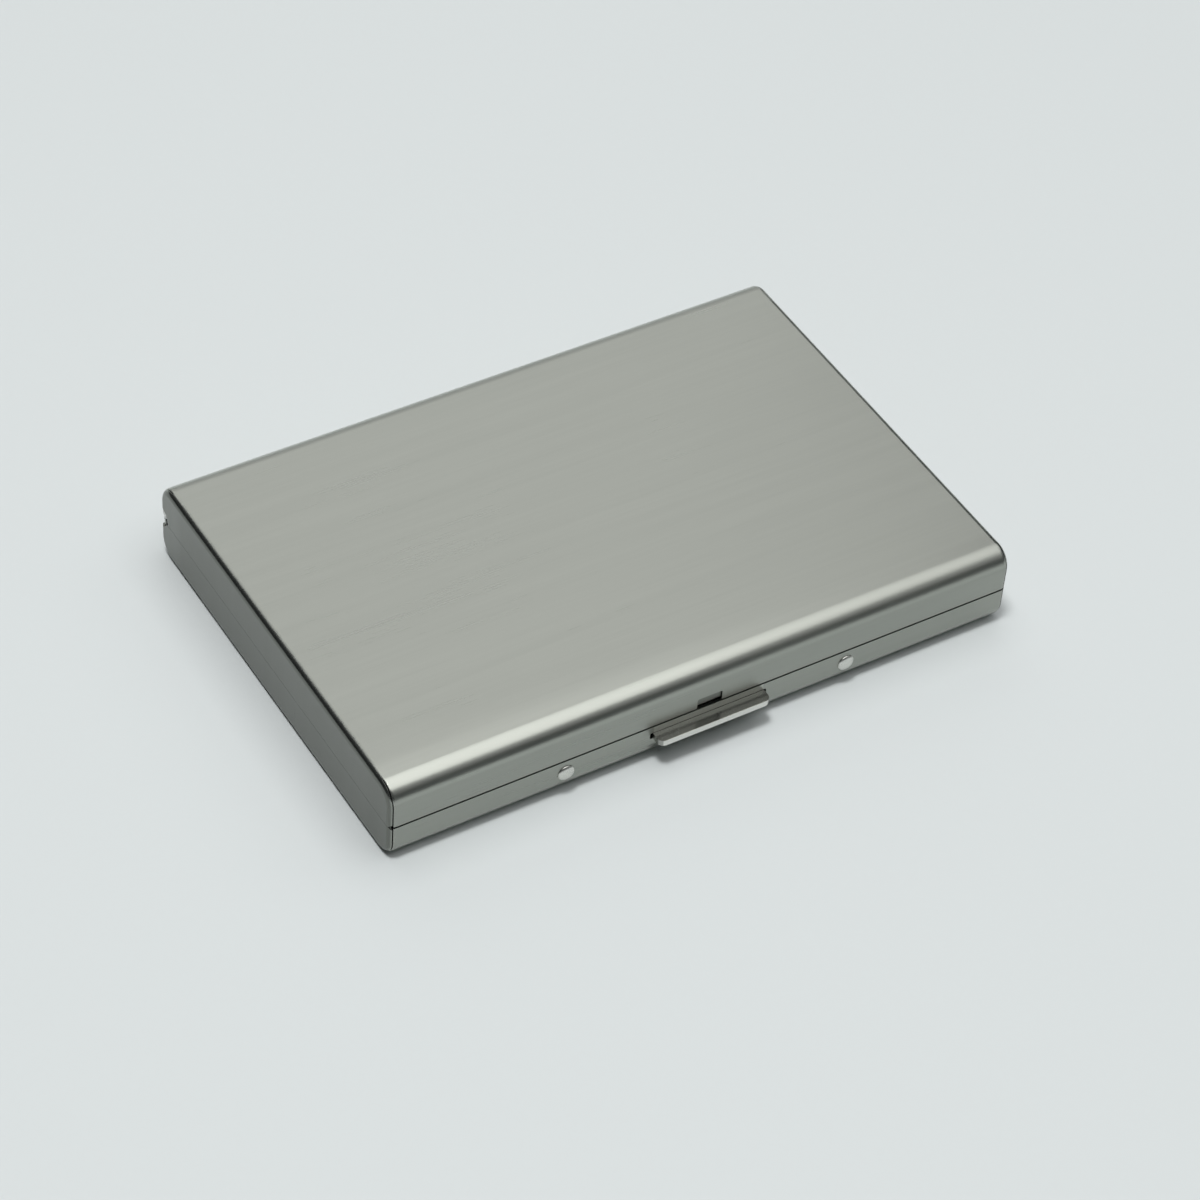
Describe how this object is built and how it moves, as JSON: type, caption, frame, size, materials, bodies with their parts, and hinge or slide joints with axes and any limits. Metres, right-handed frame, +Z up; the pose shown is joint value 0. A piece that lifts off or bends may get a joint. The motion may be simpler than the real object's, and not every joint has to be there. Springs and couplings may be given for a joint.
{
  "type": "business card case",
  "caption": "Slim hinged card case of hairline steel with a riveted push latch and a fan-out accordion of card pockets.",
  "frame": {"origin": "centre of the tray's flat underside", "axes": "+X along the hinge, -Y towards the thumb latch, +Y towards the hinge, +Z up through the lid"},
  "size_m": [0.097, 0.0686, 0.0127],
  "materials": {
    "hairline_steel": "satin hairline along the length",
    "latch_steel": "plain satin",
    "rivet_steel": "bright satin",
    "hinge_steel": "plain satin",
    "spring_steel": "rolled",
    "pocket_sheet": "fine-grained soft plastic, matt",
    "gusset_sheet": "soft plastic film, matt",
    "adhesive": "matt adhesive sheet"
  },
  "bodies": {
    "tray": {"tray_shell": "hairline_steel", "tray_hinge_leaf": "hinge_steel", "hinge_pin": "hinge_steel", "latch_spring": "spring_steel", "left_rivet": "rivet_steel", "right_rivet": "rivet_steel", "tray_tape": "adhesive", "pocket_wall_0": "pocket_sheet", "left_gusset_1": "gusset_sheet", "right_gusset_1": "gusset_sheet", "pocket_spine_1": "pocket_sheet"},
    "wall_1": {"pocket_wall_1": "pocket_sheet", "left_gusset_2": "gusset_sheet", "right_gusset_2": "gusset_sheet", "pocket_spine_2": "pocket_sheet"},
    "wall_2": {"pocket_wall_2": "pocket_sheet", "left_gusset_3": "gusset_sheet", "right_gusset_3": "gusset_sheet", "pocket_spine_3": "pocket_sheet"},
    "wall_3": {"pocket_wall_3": "pocket_sheet", "left_gusset_4": "gusset_sheet", "right_gusset_4": "gusset_sheet", "pocket_spine_4": "pocket_sheet"},
    "wall_4": {"pocket_wall_4": "pocket_sheet", "left_gusset_5": "gusset_sheet", "right_gusset_5": "gusset_sheet", "pocket_spine_5": "pocket_sheet"},
    "wall_5": {"pocket_wall_5": "pocket_sheet", "left_gusset_6": "gusset_sheet", "right_gusset_6": "gusset_sheet", "pocket_spine_6": "pocket_sheet"},
    "lid": {"lid_shell": "hairline_steel", "lid_hinge_leaf": "hinge_steel", "lid_tape": "adhesive", "pocket_wall_6": "pocket_sheet"},
    "latch": {"thumb_latch": "latch_steel"}
  },
  "joints": [
    {"name": "lid_open", "type": "hinge", "parent": "tray", "child": "lid", "pos_m": [0, 0.03225, 0.0072], "axis": [-1, 0, 0], "range_deg": [0, 75], "deforming": ["left_gusset_6", "right_gusset_6", "pocket_spine_6"]},
    {"name": "wall_1_fan", "type": "hinge", "parent": "tray", "child": "wall_1", "pos_m": [0, 0.03225, 0.0072], "axis": [-1, 0, 0], "range_deg": [0, 12.51], "deforming": ["left_gusset_1", "right_gusset_1", "pocket_spine_1"]},
    {"name": "wall_2_fan", "type": "hinge", "parent": "tray", "child": "wall_2", "pos_m": [0, 0.03225, 0.0072], "axis": [-1, 0, 0], "range_deg": [0, 25.01], "deforming": ["left_gusset_2", "right_gusset_2", "pocket_spine_2"]},
    {"name": "wall_3_fan", "type": "hinge", "parent": "tray", "child": "wall_3", "pos_m": [0, 0.03225, 0.0072], "axis": [-1, 0, 0], "range_deg": [0, 37.51], "deforming": ["left_gusset_3", "right_gusset_3", "pocket_spine_3"]},
    {"name": "wall_4_fan", "type": "hinge", "parent": "tray", "child": "wall_4", "pos_m": [0, 0.03225, 0.0072], "axis": [-1, 0, 0], "range_deg": [0, 50.01], "deforming": ["left_gusset_4", "right_gusset_4", "pocket_spine_4"]},
    {"name": "wall_5_fan", "type": "hinge", "parent": "tray", "child": "wall_5", "pos_m": [0, 0.03225, 0.0072], "axis": [-1, 0, 0], "range_deg": [0, 62.51], "deforming": ["left_gusset_5", "right_gusset_5", "pocket_spine_5"]},
    {"name": "latch_press", "type": "slide", "parent": "tray", "child": "latch", "axis": [0, 1, 0], "range_m": [0, 0.00085], "stiffness_N_per_m": 4000, "deforming": ["latch_spring"]}
  ],
  "couplings": [
    {"joint": "wall_1_fan", "follows": "lid_open", "ratio": 0.16667},
    {"joint": "wall_2_fan", "follows": "lid_open", "ratio": 0.33333},
    {"joint": "wall_3_fan", "follows": "lid_open", "ratio": 0.5},
    {"joint": "wall_4_fan", "follows": "lid_open", "ratio": 0.66667},
    {"joint": "wall_5_fan", "follows": "lid_open", "ratio": 0.83333}
  ]
}
